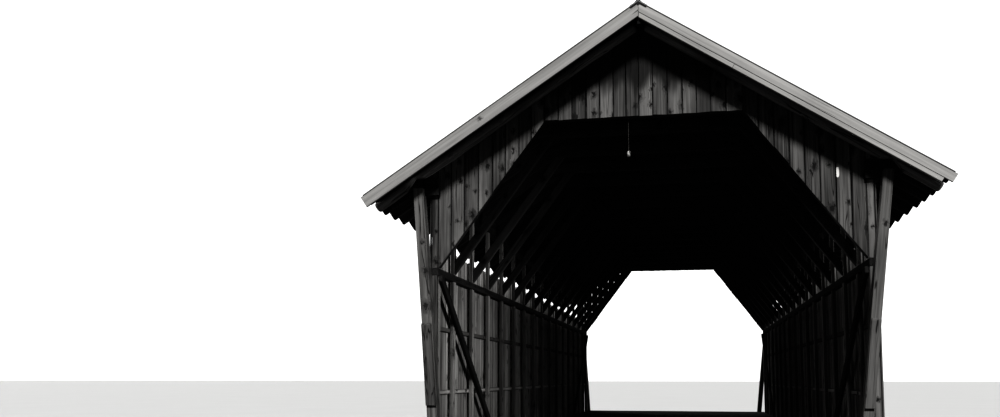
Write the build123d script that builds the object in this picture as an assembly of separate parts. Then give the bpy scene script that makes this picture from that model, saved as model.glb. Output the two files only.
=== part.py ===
from build123d import *
import math
import os

# A single-lane timber covered bridge. X runs across the roadway, Y along it and Z up.
# The origin is on the ground under the middle of the bridge. All sizes are in millimetres.

# Frames along the bridge
END_BAY = 700
INNER_BAY = 970
INNER_BAYS = 14
CLEAR_WIDTH = 4600

# Levels above the top of the deck
RAIL_LOW_BOTTOM = 672
RAIL_MIDDLE_BOTTOM = 1400
GIRT_TOP = 2100
SIDING_TOP = 2380
COLLAR_BOTTOM = 3730
PLATE_TOP = 3120
SIDING_BOTTOM = -350

# Bearing and deck
BED_TIMBER = 300
BED_TIMBER_GAP = 20
BED_TIMBER_OVERRUN = 375
BED_TIMBER_STEP_OUT = 180
STRINGER_WIDTH = 200
STRINGER_HEIGHT = 400
INNER_STRINGERS = 3
DECK_THICKNESS = 75
DECK_END_PLAY = 10

# Wall framing
POST_WIDTH = 100
POST_DEPTH = 45
GIRT_HEIGHT = 85
RAIL_HEIGHT = 50
RAIL_DEPTH = 30
PLATE_WIDTH = 160
PLATE_HEIGHT = 200
PLATE_STEP_IN = 20
PLATE_STEP_OUT = 60
BOARD_THICKNESS = 25

# Braces and collars that make the opening's sloping shoulders
FLAT_WIDTH = 2160
BRACE_DEPTH = 95
BRACE_WIDTH = 80
COLLAR_HEIGHT = 140
COLLAR_WIDTH = 100

# Plank braces that stiffen the ends of each wall
WIND_BRACE_WIDTH = 110
WIND_BRACE_THICKNESS = 40
WIND_BRACE_RUN = 3000
WIND_BRACE_DECK_GAP = 5

# Roof
ROOF_PITCH = 33
RAFTER_DEPTH = 140
RAFTER_NOTCH = 45
RAFTER_WIDTH = 60
RAFTER_SHORT_OF_RAKE = 45
RIDGE_THICKNESS = 40
RIDGE_HEIGHT = 190
GABLE_OVERHANG = 450
ROOF_BOARD_THICKNESS = 25
ROOF_BOARD_SHORT_OF_RAKE = 40
SHEET_THICKNESS = 6
SHEET_SHORT_OF_RAKE = 25
SHEET_END_LAP = 10
SEAM_SPACING = 400
SEAM_HEIGHT = 22
SEAM_WIDTH = 24
SEAM_CAP_PLAY = 15
CAP_LEG = 105
CAP_THICKNESS = 4
CAP_ROLL_DIAMETER = 36

# Gable trim
LEFT_RAKE_DEPTH = 132
RIGHT_RAKE_DEPTH = 95
RAKE_THICKNESS = 30
RAKE_OVERHANG = 640
RAKE_JOINT = 3
BACKING_SHOWS = 48
BACKING_THICKNESS = 20
BACKING_SHORT_OF_RAKE = 90
FLY_RAFTER_WIDTH = 50
FLY_RAFTER_DEPTH = 90
POLE_RIDGE_DIAMETER = 112
POLE_EAVE_DIAMETER = 130
POLE_SHORT_OF_RAKE = 30

# Leaning corner posts with a scab plank on the lower half. A lean is how far the top stands
# out from the foot, and the right posts lean more.
LEFT_POST_WIDTH = 118
RIGHT_POST_WIDTH = 104
LEFT_POST_LEAN = 243
RIGHT_POST_LEAN = 378
CORNER_POST_DEPTH = 140
CORNER_POST_TOP = 3000
CORNER_POST_BOW = 12
SCAB_THICKNESS = 40
SCAB_STEP_IN = 4
SCAB_BOTTOM = 560
SCAB_TOP = 1470
SCAB_BEVEL = 25

# Short wire that hangs from the near header, with a small weight
WIRE_DIAMETER = 5
WIRE_DROP = 370
WIRE_OFFSET = -150
WEIGHT_DIAMETER = 42
WEIGHT_HEIGHT = 68

# Play left between faces that would otherwise scrape
SEAT_GAP = 0.3

# Positions worked out from the sizes above
slope = math.radians(ROOF_PITCH)
rise = math.tan(slope)
half_clear = CLEAR_WIDTH / 2
post_outer = half_clear + POST_DEPTH
siding_inner = post_outer + RAIL_DEPTH
siding_outer = siding_inner + BOARD_THICKNESS
plate_inner = half_clear - PLATE_STEP_IN
plate_outer = plate_inner + PLATE_WIDTH
plate_bottom = PLATE_TOP - PLATE_HEIGHT
girt_bottom = GIRT_TOP - GIRT_HEIGHT
gable_edge = siding_outer
half_flat = FLAT_WIDTH / 2
end_frame = INNER_BAYS / 2 * INNER_BAY + END_BAY
end_face = end_frame + POST_WIDTH / 2
gable_face = end_face + BOARD_THICKNESS
rake_face = end_face + GABLE_OVERHANG
rake_back = rake_face - RAKE_THICKNESS
rake_reach = plate_outer + RAKE_OVERHANG
rafter_reach = rake_reach - RAFTER_SHORT_OF_RAKE
roof_board_reach = rake_reach - ROOF_BOARD_SHORT_OF_RAKE
sheet_reach = rake_reach - SHEET_SHORT_OF_RAKE
pole_reach = rake_reach - POLE_SHORT_OF_RAKE
stringer_top = -DECK_THICKNESS
stringer_bottom = stringer_top - STRINGER_HEIGHT
ground = stringer_bottom - BED_TIMBER
half_ridge = RIDGE_THICKNESS / 2
roof_peak = PLATE_TOP - RAFTER_NOTCH + plate_outer * rise + RAFTER_DEPTH / math.cos(slope)
sheet_under = ROOF_BOARD_THICKNESS
sheet_top = sheet_under + SHEET_THICKNESS
seam_top = sheet_top + SEAM_HEIGHT

frame_places = [-end_frame]
frame_places += [(n - INNER_BAYS / 2) * INNER_BAY for n in range(INNER_BAYS + 1)]
frame_places += [end_frame]
between_places = [(a + b) / 2 for a, b in zip(frame_places, frame_places[1:])]
rafter_places = sorted(frame_places + between_places)

across = Plane.YZ
along = Plane.XZ


def roof_z(x, below=0):
    """Height of the rafters' top plane at x, or of a plane parallel to it and lower."""
    return roof_peak - rise * abs(x) - below / math.cos(slope)


def square_end(x, above, depth):
    """Two corners of an end cut square to the roof, the upper one at x."""
    upper = (x, roof_z(x, -above))
    lower = (x - depth * math.sin(slope), upper[1] - depth * math.cos(slope))
    return upper, lower


def block(x0, x1, y0, y1, z0, z1):
    """A straight timber between two corners."""
    centre = Pos((x0 + x1) / 2, (y0 + y1) / 2, (z0 + z1) / 2)
    return centre * Box(x1 - x0, y1 - y0, z1 - z0)


def cross_prism(outline, y0, y1):
    """An outline in X and Z, carried along Y."""
    plane = Plane(origin=(0, y1, 0), x_dir=(1, 0, 0), z_dir=(0, -1, 0))
    return extrude(plane * Polygon(*outline, align=None), amount=y1 - y0, dir=(0, -1, 0))


def long_prism(outline, x0, x1):
    """An outline in Y and Z, carried along X."""
    plane = Plane(origin=(x0, 0, 0), x_dir=(0, 1, 0), z_dir=(1, 0, 0))
    return extrude(plane * Polygon(*outline, align=None), amount=x1 - x0, dir=(1, 0, 0))


def left_of(pieces):
    """The same pieces on the left side of the roadway."""
    return [piece.mirror(across) for piece in pieces]


def near_of(pieces):
    """The same pieces at the near end of the bridge."""
    return [piece.mirror(along) for piece in pieces]


def bed_timbers():
    """The two timbers that carry the far end of the bridge."""
    outer_edge = end_face + BED_TIMBER_STEP_OUT
    pieces = []
    for n in range(2):
        edge = outer_edge - n * (BED_TIMBER + BED_TIMBER_GAP)
        half = siding_inner + BED_TIMBER_OVERRUN
        pieces.append(block(-half, half, edge - BED_TIMBER, edge, ground, stringer_bottom))
    return pieces


def stringers():
    """The outer stringers carry the posts, and the inner ones the deck."""
    outer_centre = siding_inner - STRINGER_WIDTH / 2
    centres = [-outer_centre, outer_centre]
    spread = 2 * outer_centre / (INNER_STRINGERS + 1)
    centres += [-outer_centre + spread * (n + 1) for n in range(INNER_STRINGERS)]
    half = STRINGER_WIDTH / 2
    return [
        block(x - half, x + half, -end_face, end_face, stringer_bottom, stringer_top)
        for x in centres
    ]


def deck():
    """The plank floor, between the two rows of posts."""
    half = half_clear - DECK_END_PLAY
    return [block(-half, half, -end_face, end_face, stringer_top, 0)]


def posts():
    """The right wall's posts: one up to the girt and one from there to the plate."""
    half = POST_WIDTH / 2
    pieces = []
    for y in frame_places:
        pieces.append(block(half_clear, post_outer, y - half, y + half, stringer_top, girt_bottom))
        pieces.append(block(half_clear, post_outer, y - half, y + half, GIRT_TOP, plate_bottom))
    return pieces


def girt():
    """The heavy top rail, whose ends show in the gable walls."""
    return [block(half_clear, siding_inner, -gable_face, gable_face, girt_bottom, GIRT_TOP)]


def rails():
    """The middle and low rails, between the posts and the siding."""
    return [
        block(post_outer, siding_inner, -end_face, end_face, z, z + RAIL_HEIGHT)
        for z in (RAIL_LOW_BOTTOM, RAIL_MIDDLE_BOTTOM)
    ]


def plate():
    """The wall plate, whose ends stand out of the gable walls."""
    end = gable_face + PLATE_STEP_OUT
    return [block(plate_inner, plate_outer, -end, end, plate_bottom, PLATE_TOP)]


def side_siding():
    """The right wall's boarding, open below the eaves."""
    return [block(siding_inner, siding_outer, -end_face, end_face, SIDING_BOTTOM, SIDING_TOP)]


def shoulder_x(z, out=0):
    """Where the opening's sloping edge, or a line parallel to it, is at height z."""
    run = half_clear - half_flat
    height = COLLAR_BOTTOM - GIRT_TOP
    return half_clear - (z - GIRT_TOP) * run / height + out * math.hypot(run, height) / height


def gable_siding():
    """The far gable's boarding, with the opening, the plates and the ridge cut through."""
    clearance = 2
    wall = cross_prism(
        [
            (-gable_edge, SIDING_BOTTOM),
            (gable_edge, SIDING_BOTTOM),
            (gable_edge, roof_z(gable_edge, clearance)),
            (0, roof_z(0, clearance)),
            (-gable_edge, roof_z(gable_edge, clearance)),
        ],
        end_face,
        gable_face,
    )
    opening = cross_prism(
        [
            (-half_clear, SIDING_BOTTOM),
            (half_clear, SIDING_BOTTOM),
            (half_clear, GIRT_TOP),
            (half_flat, COLLAR_BOTTOM),
            (-half_flat, COLLAR_BOTTOM),
            (-half_clear, GIRT_TOP),
        ],
        end_face,
        gable_face,
    )
    wall -= opening
    for side in (-1, 1):
        x0, x1 = sorted((side * plate_inner, side * plate_outer))
        wall -= block(x0, x1, end_face, gable_face, plate_bottom, PLATE_TOP)
        x0, x1 = sorted((side * half_clear, side * siding_inner))
        wall -= block(x0, x1, end_face, gable_face, girt_bottom, GIRT_TOP)
    ridge_bottom = roof_z(half_ridge) - RIDGE_HEIGHT
    wall -= block(-half_ridge, half_ridge, end_face, gable_face, ridge_bottom, roof_peak)
    return wall.solids()


def knee_braces():
    """The right side's braces, from the posts up to the collars, cut to seat on both."""
    half = BRACE_WIDTH / 2
    run = half_clear - half_flat
    drop = COLLAR_BOTTOM - GIRT_TOP
    heel = GIRT_TOP + BRACE_DEPTH * math.hypot(run, drop) / run
    outline = [
        (half_clear, GIRT_TOP),
        (half_clear, heel),
        (shoulder_x(COLLAR_BOTTOM, BRACE_DEPTH), COLLAR_BOTTOM),
        (half_flat, COLLAR_BOTTOM),
    ]
    return [cross_prism(outline, y - half, y + half) for y in frame_places]


def collars():
    """Ties between each pair of rafters, with ends cut to the roof's slope."""
    half = COLLAR_WIDTH / 2
    top = COLLAR_BOTTOM + COLLAR_HEIGHT
    underside_peak = roof_z(0, RAFTER_DEPTH)
    low = (underside_peak - COLLAR_BOTTOM) / rise
    high = (underside_peak - top) / rise
    outline = [(-low, COLLAR_BOTTOM), (low, COLLAR_BOTTOM), (high, top), (-high, top)]
    return [cross_prism(outline, y - half, y + half) for y in frame_places]


def rafter_outline():
    """A rafter with its plumb cut, square tail and the notch that sits on the plate."""
    tail_top, tail_bottom = square_end(rafter_reach, 0, RAFTER_DEPTH)
    seat_inner = (roof_z(0, RAFTER_DEPTH) - PLATE_TOP) / rise
    return [
        (half_ridge, roof_z(half_ridge)),
        tail_top,
        tail_bottom,
        (plate_outer, roof_z(plate_outer, RAFTER_DEPTH)),
        (plate_outer, PLATE_TOP),
        (seat_inner, PLATE_TOP),
        (half_ridge, roof_z(half_ridge, RAFTER_DEPTH)),
    ]


def rafters():
    """The right slope's rafters, over each post and between the posts."""
    half = RAFTER_WIDTH / 2
    return [cross_prism(rafter_outline(), y - half, y + half) for y in rafter_places]


def ridge_board():
    """The board that the rafters lean on."""
    end = rake_back - BACKING_THICKNESS
    top = roof_z(half_ridge)
    return [block(-half_ridge, half_ridge, -end, end, top - RIDGE_HEIGHT, top)]


def roof_boards():
    """The right slope's close boarding."""
    upper, lower = square_end(roof_board_reach, ROOF_BOARD_THICKNESS, ROOF_BOARD_THICKNESS)
    outline = [(0, roof_z(0, -ROOF_BOARD_THICKNESS)), upper, lower, (0, roof_z(0))]
    return [cross_prism(outline, -rake_back, rake_back)]


def roof_sheet():
    """The right slope's metal sheet, with standing seams that start below the ridge cap."""
    half_length = rake_face + SHEET_END_LAP
    upper, lower = square_end(sheet_reach, sheet_top, SHEET_THICKNESS)
    outline = [(0, roof_z(0, -sheet_top)), upper, lower, (0, roof_z(0, -sheet_under))]
    sheet = cross_prism(outline, -half_length, half_length)
    foot = (CAP_LEG + SEAM_CAP_PLAY) * math.cos(slope)
    seam_upper, seam_lower = square_end(sheet_reach, seam_top, SEAM_HEIGHT + SHEET_THICKNESS / 2)
    seam_outline = [
        (foot, roof_z(foot, -seam_top)),
        seam_upper,
        seam_lower,
        (foot, roof_z(foot, -(sheet_top + sheet_under) / 2)),
    ]
    gaps = round(2 * half_length / SEAM_SPACING)
    spacing = 2 * half_length / gaps
    for n in range(1, gaps):
        y = n * spacing - half_length
        sheet += cross_prism(seam_outline, y - SEAM_WIDTH / 2, y + SEAM_WIDTH / 2)
    return sheet.solids()


def ridge_cap():
    """The folded metal cap over the ridge, with a round roll along its top."""
    half_length = rake_face + SHEET_END_LAP
    foot = CAP_LEG * math.cos(slope)
    under = -sheet_top
    over = -(sheet_top + CAP_THICKNESS)
    outer, inner = square_end(foot, -over, CAP_THICKNESS)
    outline = [
        (0, roof_z(0, over)),
        outer,
        inner,
        (0, roof_z(0, under)),
        (-inner[0], inner[1]),
        (-outer[0], outer[1]),
    ]
    cap = cross_prism(outline, -half_length, half_length)
    roll_plane = Plane(
        origin=(0, half_length, roof_z(0, over)),
        x_dir=(1, 0, 0),
        z_dir=(0, -1, 0),
    )
    circle = roll_plane * Circle(CAP_ROLL_DIAMETER / 2)
    roll = extrude(circle, amount=2 * half_length, dir=(0, -1, 0))
    below = cross_prism(
        [
            (-foot, roof_z(foot, under)),
            (0, roof_z(0, under)),
            (foot, roof_z(foot, under)),
            (foot, roof_z(foot, under) - CAP_LEG),
            (-foot, roof_z(foot, under) - CAP_LEG),
        ],
        -half_length,
        half_length,
    )
    return ((cap + roll) - below).solids()


def rake_board(depth):
    """One wide pale board up the right slope of the far gable."""
    start = RAKE_JOINT / 2
    above = ROOF_BOARD_THICKNESS
    upper, lower = square_end(rake_reach, above, depth)
    outline = [
        (start, roof_z(start, -above)),
        upper,
        lower,
        (start, roof_z(start, depth - above)),
    ]
    return cross_prism(outline, rake_back, rake_face)


def rake_boards():
    """The far gable's two rake boards, the left one deeper than the right one."""
    return [rake_board(RIGHT_RAKE_DEPTH)] + left_of([rake_board(LEFT_RAKE_DEPTH)])


def rake_backing():
    """The strip behind the right-hand rake board, which shows below it."""
    depth = RIGHT_RAKE_DEPTH - ROOF_BOARD_THICKNESS + BACKING_SHOWS
    upper, lower = square_end(rake_reach - BACKING_SHORT_OF_RAKE, 0, depth)
    start = half_ridge
    outline = [(start, roof_z(start)), upper, lower, (start, roof_z(start, depth))]
    return [cross_prism(outline, rake_back - BACKING_THICKNESS, rake_back)]


def fly_rafters():
    """The pair of light rafters under the far overhang, behind the rake boards."""
    front = rake_back - BACKING_THICKNESS
    upper, lower = square_end(rafter_reach, 0, FLY_RAFTER_DEPTH)
    foot = (half_ridge, roof_z(half_ridge, FLY_RAFTER_DEPTH))
    outline = [(half_ridge, roof_z(half_ridge)), upper, lower, foot]
    right = cross_prism(outline, front - FLY_RAFTER_WIDTH, front)
    return [right] + left_of([right])


def gable_poles():
    """The pair of peeled poles against the far gable's boards, notched over the plates."""
    thick = POLE_EAVE_DIAMETER / 2
    thin = POLE_RIDGE_DIAMETER / 2
    length = (pole_reach - half_ridge) / math.cos(slope) - 2 * thick * math.tan(slope)
    y = gable_face + SEAT_GAP + thick
    x = half_ridge + SEAT_GAP + (thick + thin + SEAT_GAP) * math.sin(slope)
    outward = Vector(math.sin(slope), 0, math.cos(slope))
    down_slope = Vector(math.cos(slope), 0, -math.sin(slope))
    start = Vector(x, y, roof_z(x)) - outward * (thick + SEAT_GAP)
    plane = Plane(origin=start, x_dir=(0, 1, 0), z_dir=down_slope)
    pole = plane * Cone(thin, thick, length, align=(Align.CENTER, Align.CENTER, Align.MIN))
    pole -= block(plate_inner, plate_outer, gable_face, rake_back, plate_bottom, PLATE_TOP)
    return pole.solids() + left_of(pole.solids())


def corner_bow(z):
    """How far a corner post bows towards the roadway at height z."""
    share = (z - stringer_bottom) / (CORNER_POST_TOP - stringer_bottom)
    return 4 * CORNER_POST_BOW * share * (1 - share)


def corner_edge(z, lean, out):
    """X of a corner post's side at height z; its inner side just clears the wall plate."""
    clear = plate_outer + SEAT_GAP + corner_bow(plate_bottom)
    share = (plate_bottom - z) / (CORNER_POST_TOP - stringer_bottom)
    return clear + out - share * lean - corner_bow(z)


def leaning_outline(z0, z1, lean, inner, outer):
    """The outline of a timber that leans and bows as the corner posts do."""
    heights = (z0, (z0 + z1) / 2, z1)
    inner_side = ThreePointArc(*[(corner_edge(z, lean, inner), z) for z in heights])
    outer_side = ThreePointArc(*[(corner_edge(z, lean, outer), z) for z in reversed(heights)])
    top = Line(inner_side @ 1, outer_side @ 0)
    bottom = Line(outer_side @ 1, inner_side @ 0)
    return make_face([inner_side, top, outer_side, bottom])


def leaning_plank(y0, y1, outline):
    """A leaning outline, carried along Y."""
    plane = Plane(origin=(0, y1, 0), x_dir=(1, 0, 0), z_dir=(0, -1, 0))
    return extrude(plane * outline, amount=y1 - y0, dir=(0, -1, 0))


def corner_post(lean, width):
    """A corner post right of the far opening, in front of the gable and leaning outwards."""
    front = gable_face + CORNER_POST_DEPTH
    outline = leaning_outline(stringer_bottom, CORNER_POST_TOP, lean, 0, width)
    return [leaning_plank(gable_face, front, outline)]


def corner_scab(lean, width):
    """The plank nailed on the front of such a corner post, bevelled at its top."""
    front = gable_face + CORNER_POST_DEPTH
    back = front + SCAB_THICKNESS
    outline = leaning_outline(SCAB_BOTTOM, SCAB_TOP, lean, SCAB_STEP_IN, width - SCAB_STEP_IN)
    plank = leaning_plank(front, back, outline)
    wedge = long_prism(
        [
            (back - SCAB_BEVEL, SCAB_TOP),
            (back, SCAB_TOP),
            (back, SCAB_TOP - SCAB_BEVEL),
        ],
        0,
        2 * plate_outer,
    )
    return (plank - wedge).solids()


def wind_brace():
    """The far right plank brace, from under the girt at the end post down to the deck."""
    height = girt_bottom - WIND_BRACE_DECK_GAP
    length = math.hypot(WIND_BRACE_RUN, height)
    across_y = WIND_BRACE_WIDTH * length / height
    top = girt_bottom
    bottom = WIND_BRACE_DECK_GAP
    corner = end_face
    cut = WIND_BRACE_WIDTH * length / WIND_BRACE_RUN
    outline = [
        (corner, top),
        (corner, top - cut / 2),
        (corner - WIND_BRACE_RUN + across_y / 2, bottom),
        (corner - WIND_BRACE_RUN - across_y / 2, bottom),
        (corner - across_y / 2, top),
    ]
    return [long_prism(outline, half_clear - WIND_BRACE_THICKNESS, half_clear)]


def hanging_wire():
    """The straight wire below the near collar, and the small turned weight on its end."""
    top = COLLAR_BOTTOM
    bottom = top - WIRE_DROP
    place = Pos(WIRE_OFFSET, -end_frame, (top + bottom) / 2)
    return [place * Cylinder(WIRE_DIAMETER / 2, WIRE_DROP)]


def wire_weight():
    """A small turned weight with rounded shoulders."""
    top = COLLAR_BOTTOM - WIRE_DROP
    radius = WEIGHT_DIAMETER / 2
    body = Cylinder(radius, WEIGHT_HEIGHT, align=(Align.CENTER, Align.CENTER, Align.MAX))
    body = fillet(body.edges().filter_by(GeomType.CIRCLE), radius * 0.6)
    return [Pos(WIRE_OFFSET, -end_frame, top) * body]


def save(name, pieces):
    """Writes one node, lifted so that the ground is at zero."""
    lifted = [Pos(0, 0, -ground) * piece for piece in pieces]
    solids = [solid for piece in lifted for solid in piece.solids()]
    shape = solids[0] if len(solids) == 1 else Compound(solids)
    export_step(shape, "parts/" + name + ".step")


def save_sides(name, pieces):
    """Writes the right side's pieces, and the same pieces on the left."""
    save(name + "_right", pieces)
    save(name + "_left", left_of(pieces))


def save_corners(name, shape):
    """Writes a far corner's pieces at all four corners, with each side's lean and width."""
    right = shape(RIGHT_POST_LEAN, RIGHT_POST_WIDTH)
    left = left_of(shape(LEFT_POST_LEAN, LEFT_POST_WIDTH))
    save("far_right_" + name, right)
    save("far_left_" + name, left)
    save("near_right_" + name, near_of(right))
    save("near_left_" + name, near_of(left))


os.makedirs("parts", exist_ok=True)

save("bed_timbers_far", bed_timbers())
save("bed_timbers_near", near_of(bed_timbers()))
save("stringers", stringers())
save("deck", deck())

save_sides("posts", posts())
save_sides("girt", girt())
save_sides("rails", rails())
save_sides("wall_plate", plate())
save_sides("siding", side_siding())
save_sides("knee_braces", knee_braces())
save_sides("rafters", rafters())
save_sides("roof_boards", roof_boards())
save_sides("roof_sheet", roof_sheet())
save_sides("wind_braces", wind_brace() + near_of(wind_brace()))

save("collars", collars())
save("ridge_board", ridge_board())
save("ridge_cap", ridge_cap())

save("gable_siding_far", gable_siding())
save("gable_siding_near", near_of(gable_siding()))
save("rake_boards_far", rake_boards())
save("rake_boards_near", near_of(rake_boards()))
save("rake_backings", rake_backing() + near_of(rake_backing()))
save("overhang_rafters_far", fly_rafters() + gable_poles())
save("overhang_rafters_near", near_of(fly_rafters() + gable_poles()))

save_corners("corner_post", corner_post)
save_corners("post_scab", corner_scab)

save("hanging_wire", hanging_wire())
save("wire_weight", wire_weight())
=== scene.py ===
"""A single-lane timber covered bridge: boards, timbers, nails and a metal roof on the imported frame."""

import functools
import math
import random

import bmesh
import bpy
from bpy.props import FloatProperty, FloatVectorProperty, PointerProperty
from mathutils import Euler, Matrix, Vector, noise


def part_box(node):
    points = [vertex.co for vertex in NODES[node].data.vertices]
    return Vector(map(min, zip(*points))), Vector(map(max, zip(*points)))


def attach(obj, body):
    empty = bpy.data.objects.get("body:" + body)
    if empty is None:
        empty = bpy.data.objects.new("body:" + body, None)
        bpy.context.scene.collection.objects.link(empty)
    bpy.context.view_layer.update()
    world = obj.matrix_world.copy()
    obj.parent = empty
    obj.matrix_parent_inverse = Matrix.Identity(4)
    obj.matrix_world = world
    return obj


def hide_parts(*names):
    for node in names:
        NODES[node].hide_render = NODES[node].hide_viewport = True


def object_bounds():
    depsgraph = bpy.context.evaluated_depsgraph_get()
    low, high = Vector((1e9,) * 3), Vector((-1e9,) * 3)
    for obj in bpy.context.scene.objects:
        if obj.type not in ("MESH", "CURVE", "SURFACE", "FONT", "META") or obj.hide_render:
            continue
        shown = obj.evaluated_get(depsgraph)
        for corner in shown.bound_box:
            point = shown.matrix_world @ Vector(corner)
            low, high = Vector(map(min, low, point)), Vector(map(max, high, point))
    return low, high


bl_info = {
    "name": "Covered bridge",
    "version": (1, 0, 0),
    "blender": (4, 5, 0),
    "location": "View3D > Sidebar > Bridge",
    "description": "Boards, timbers, nails and a metal roof for a covered bridge",
    "category": "Object",
}

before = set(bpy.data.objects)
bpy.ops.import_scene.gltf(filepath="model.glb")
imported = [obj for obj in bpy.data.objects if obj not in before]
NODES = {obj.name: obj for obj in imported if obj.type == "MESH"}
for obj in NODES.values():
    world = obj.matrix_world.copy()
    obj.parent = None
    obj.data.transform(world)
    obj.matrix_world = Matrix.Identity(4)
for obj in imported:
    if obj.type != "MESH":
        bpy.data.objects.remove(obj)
CAD_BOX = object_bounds()


# Sizes read from the frame


def low(name):
    """The lowest corner of a node."""
    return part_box(name)[0]


def high(name):
    """The highest corner of a node."""
    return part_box(name)[1]


DECK_FOOT = low("deck").z
END_FACE = high("deck").y
(_, _, GABLE_FOOT), (GABLE_EDGE, GABLE_FACE, _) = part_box("gable_siding_far")
(HALF_CLEAR, _, GIRT_FOOT), (_, _, SHOULDER_FOOT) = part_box("girt_right")
(PLATE_INNER, _, PLATE_FOOT), (PLATE_OUTER, _, PLATE_TOP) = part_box("wall_plate_right")
(SIDING_INNER, _, SIDING_FOOT), (SIDING_OUTER, _, SIDING_TOP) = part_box("siding_right")
HALF_FLAT = low("knee_braces_right").x
OPENING_TOP = low("collars").z
ROOF_PITCH = math.radians(33)
ROOF_RISE = math.tan(ROOF_PITCH)
ROOF_COS = math.cos(ROOF_PITCH)
ROOF_SIN = math.sin(ROOF_PITCH)
HALF_RIDGE = high("ridge_board").x
ROOF_PEAK = high("ridge_board").z + HALF_RIDGE * ROOF_RISE
ROOF_BOARD_THICKNESS = low("roof_sheet_right").z - low("roof_boards_right").z
RAKE_FACE = high("rake_boards_far").y
RAKE_FOOT = min(
    v.co.z * ROOF_COS + v.co.x * ROOF_SIN
    for v in NODES["rake_boards_far"].data.vertices
    if v.co.x > 0.1
)
RAIL_EDGES = sorted({round(v.co.z, 3) for v in NODES["rails_right"].data.vertices})
RAIL_LEVELS = (sum(RAIL_EDGES[:2]) / 2, sum(RAIL_EDGES[2:]) / 2)


# Settings


def number(label, text, value, unit="NONE"):
    """A setting with one value."""
    return FloatProperty(name=label, description=text, default=value, unit=unit)


def length(label, text, value):
    """A setting in metres."""
    return number(label, text, value, "LENGTH")


def tint(kind, what, *values):
    """A setting for the dark or the pale colour of a finish."""
    text = f"{kind} grain of the {what}"
    return FloatVectorProperty(name=f"{kind} {what}", description=text, subtype="COLOR", default=values)


class BoardSettings(bpy.types.PropertyGroup):
    """Sizes of the sawn boards on the walls, gables, roof and deck."""

    board_width: length("Board width", "Mean width of a wall board", 0.15)
    width_spread: length("Width spread", "How far a board may be wider or narrower", 0.014)
    board_gap: length("Gap", "Mean gap between dry boards", 0.006)
    ragged: length("Ragged ends", "How uneven the sawn ends are", 0.02)
    waver: length("Waver", "How far a board strays from straight", 0.003)
    plank_width: length("Plank width", "Mean width of a deck plank", 0.2)
    nail_radius: length("Nail head", "Radius of a nail head", 0.006)


class TimberSettings(bpy.types.PropertyGroup):
    """How rough and worn the framing timbers are."""

    worn_edge: length("Worn edge", "Width of a timber's rounded edge", 0.006)
    waver: length("Waver", "How far a timber strays from straight", 0.0035)
    loop_spacing: length("Loop spacing", "Length of timber between two bends", 0.6)


class ColourSettings(bpy.types.PropertyGroup):
    """Dark and pale tones of each weathered finish."""

    wall_dark: tint("Dark", "gable boards", 0.02, 0.0196, 0.019)
    wall_pale: tint("Pale", "gable boards", 0.165, 0.162, 0.158)
    side_dark: tint("Dark", "side boards", 0.07, 0.068, 0.066)
    side_pale: tint("Pale", "side boards", 0.38, 0.374, 0.364)
    rake_dark: tint("Dark", "rake boards", 0.2, 0.197, 0.192)
    rake_pale: tint("Pale", "rake boards", 0.36, 0.355, 0.345)
    # Frame tones, also used for the roof boards, are near black and darker than old timber: partly painted
    # shade of the unlit interior.
    frame_dark: tint("Dark", "frame", 0.006, 0.0058, 0.0056)
    frame_pale: tint("Pale", "frame", 0.03, 0.0295, 0.029)
    corner_dark: tint("Dark", "corner posts", 0.05, 0.049, 0.0475)
    corner_pale: tint("Pale", "corner posts", 0.185, 0.182, 0.177)
    scab_dark: tint("Dark", "scab planks", 0.025, 0.0245, 0.024)
    scab_pale: tint("Pale", "scab planks", 0.115, 0.113, 0.11)
    pole_dark: tint("Dark", "peeled poles", 0.05, 0.049, 0.048)
    pole_pale: tint("Pale", "peeled poles", 0.3, 0.295, 0.29)


class StageSettings(bpy.types.PropertyGroup):
    """Camera, light and floor."""

    focal_pixels: number("Focal length", "Focal length in pixels of the picture", 933.2)
    yaw: number("Yaw", "Turn of the camera to the left", math.radians(11.648), "ROTATION")
    pitch: number("Pitch", "Tilt of the camera upwards", math.radians(5.475), "ROTATION")
    roll: number("Roll", "Turn of the camera about its own axis", math.radians(0.07), "ROTATION")
    place: FloatVectorProperty(
        name="Place",
        description="Where the camera stands",
        subtype="TRANSLATION",
        default=(0.5013, -17.6836, 1.6374),
    )
    shift: number("Shift", "Upward shift of the picture", 0.08)
    key_strength: number("Key", "Strength of the soft key light", 4.0)
    back_strength: number("Back", "Strength of the soft light from behind", 0.6)
    side_strength: number("Sides", "Strength of the low soft light from each side", 2.2)
    inner_strength: number("Inner", "Power of the soft light through the opening", 25.0)
    sky_strength: number("Sky", "Strength of the light from all round", 0.04)
    backdrop: number("Backdrop", "Brightness of the plain backdrop", 1.0)


# Node helpers


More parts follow.
